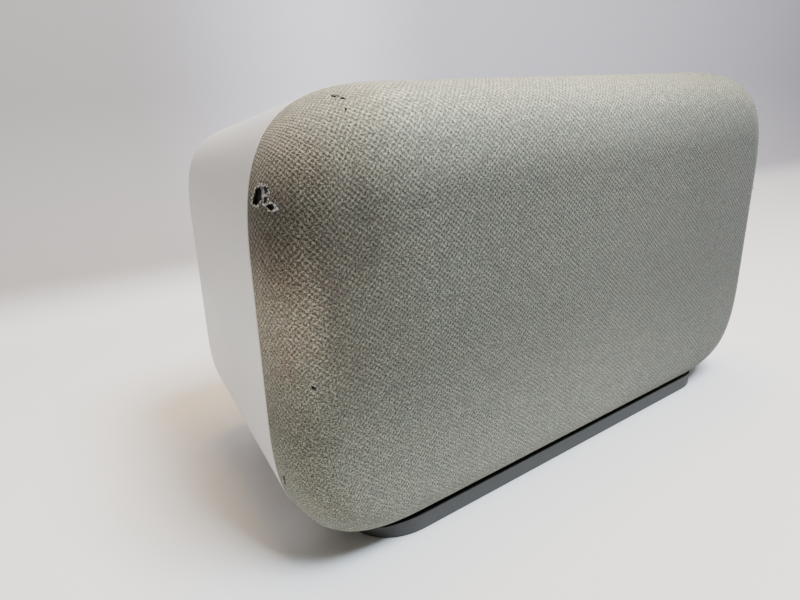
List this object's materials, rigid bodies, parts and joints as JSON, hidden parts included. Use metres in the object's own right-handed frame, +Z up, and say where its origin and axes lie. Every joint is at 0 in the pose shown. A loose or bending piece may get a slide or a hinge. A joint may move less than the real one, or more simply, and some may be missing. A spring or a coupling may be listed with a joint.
{
  "type": "smart speaker",
  "caption": "Wide rounded tabletop smart speaker with a woven cloth grille wrapped over the front, a tapered white shell behind it and a wedge-shaped rubber base pad.",
  "frame": {"origin": "on the floor under the middle of the speaker's box, at the underside of the base pad", "axes": "+X to the right seen from the front, along the long side; +Y to the back, so the cloth front faces -Y; +Z up"},
  "size_m": [0.3366, 0.1544, 0.1935],
  "materials": {
    "grille_cloth": "light grey woven polyester cloth with a coarse two-tone weave",
    "shell_white": "white satin moulded plastic",
    "frame_black": "black moulded plastic",
    "rubber_black": "black rubber",
    "pad_rubber": "dark grey soft silicone rubber",
    "steel_screw": "zinc-plated steel",
    "steel_plate": "plated steel plate",
    "magnet_ferrite": "dark grey sintered ferrite",
    "magnet_nickel": "nickel-plated magnet",
    "cone_fibre": "black coated fibre cone",
    "coil_copper": "copper winding on its former",
    "spider_cloth": "amber resin-treated cloth",
    "dome_metal": "anodised aluminium dome",
    "board_green": "green circuit board laminate",
    "heat_sink_metal": "extruded aluminium",
    "shield_tin": "tin-plated steel can",
    "chassis_metal": "zinc-plated pressed steel",
    "parts_dark": "sleeved capacitors and wound parts",
    "port_black": "black moulded port housing",
    "panel_grey": "light grey moulded plastic",
    "port_steel": "nickel-plated steel",
    "strip_gloss": "smooth touch strip, slightly greyer than the shell",
    "film_amber": "amber polyimide film",
    "lead_sheath": "black sheathed lead",
    "gasket_foam": "closed-cell foam",
    "slider_grey": "light grey moulded finger slide"
  },
  "bodies": {
    "cabinet": {"grille_fabric": "grille_cloth", "grille_frame": "frame_black", "grille_grommets": "rubber_black", "cabinet_shell": "shell_white", "touch_strip": "strip_gloss", "touch_sensor_flex": "film_amber", "front_baffle": "frame_black", "baffle_gasket": "gasket_foam", "baffle_screws": "steel_screw", "woofer_screws": "steel_screw", "tweeter_screws": "steel_screw", "light_board": "board_green", "microphone_boards": "board_green", "chassis_bracket": "chassis_metal", "chassis_screws": "steel_screw", "power_supply_board": "board_green", "power_supply_parts": "parts_dark", "amplifier_board": "board_green", "amplifier_heat_sink": "heat_sink_metal", "main_board": "board_green", "main_board_shield": "shield_tin", "board_screws": "steel_screw", "io_panel": "panel_grey", "power_inlet": "port_black", "power_inlet_pins": "port_steel", "usb_c_port": "port_steel", "aux_jack": "port_black", "mute_switch_base": "port_black", "base_magnets": "magnet_nickel", "speaker_leads": "lead_sheath", "ribbon_cable": "film_amber", "woofer_left_basket": "frame_black", "woofer_left_gasket": "gasket_foam", "woofer_left_top_plate": "steel_plate", "woofer_left_magnet": "magnet_ferrite", "woofer_left_yoke": "steel_plate", "tweeter_left_faceplate": "frame_black", "tweeter_left_motor": "steel_plate", "woofer_right_basket": "frame_black", "woofer_right_gasket": "gasket_foam", "woofer_right_top_plate": "steel_plate", "woofer_right_magnet": "magnet_ferrite", "woofer_right_yoke": "steel_plate", "tweeter_right_faceplate": "frame_black", "tweeter_right_motor": "steel_plate"},
    "woofer_left_diaphragm": {"woofer_left_cone": "cone_fibre", "woofer_left_dust_cap": "cone_fibre", "woofer_left_voice_coil": "coil_copper", "woofer_left_surround": "rubber_black", "woofer_left_spider": "spider_cloth"},
    "tweeter_left_diaphragm": {"tweeter_left_dome": "dome_metal"},
    "woofer_right_diaphragm": {"woofer_right_cone": "cone_fibre", "woofer_right_dust_cap": "cone_fibre", "woofer_right_voice_coil": "coil_copper", "woofer_right_surround": "rubber_black", "woofer_right_spider": "spider_cloth"},
    "tweeter_right_diaphragm": {"tweeter_right_dome": "dome_metal"},
    "mute_slider": {"mute_slider": "slider_grey"},
    "base_pad": {"base_pad": "pad_rubber", "base_pad_plate": "steel_plate"}
  },
  "joints": [
    {"name": "woofer_left_excursion", "type": "slide", "parent": "cabinet", "child": "woofer_left_diaphragm", "axis": [0, 1, 0], "range_m": [-0.008, 0.008], "stiffness_N_per_m": 900, "deforming": ["woofer_left_surround", "woofer_left_spider"]},
    {"name": "tweeter_left_excursion", "type": "slide", "parent": "cabinet", "child": "tweeter_left_diaphragm", "axis": [0, 1, 0], "range_m": [-0.0003, 0.0003], "stiffness_N_per_m": 1500},
    {"name": "woofer_right_excursion", "type": "slide", "parent": "cabinet", "child": "woofer_right_diaphragm", "axis": [0, 1, 0], "range_m": [-0.008, 0.008], "stiffness_N_per_m": 900, "deforming": ["woofer_right_surround", "woofer_right_spider"]},
    {"name": "tweeter_right_excursion", "type": "slide", "parent": "cabinet", "child": "tweeter_right_diaphragm", "axis": [0, 1, 0], "range_m": [-0.0003, 0.0003], "stiffness_N_per_m": 1500},
    {"name": "mute_slide", "type": "slide", "parent": "cabinet", "child": "mute_slider", "axis": [1, 0, 0], "range_m": [0, 0.003]},
    {"name": "base_pad_lift_off", "type": "slide", "parent": "cabinet", "child": "base_pad", "axis": [0, 0, -1], "range_m": [0, 0.03]}
  ]
}
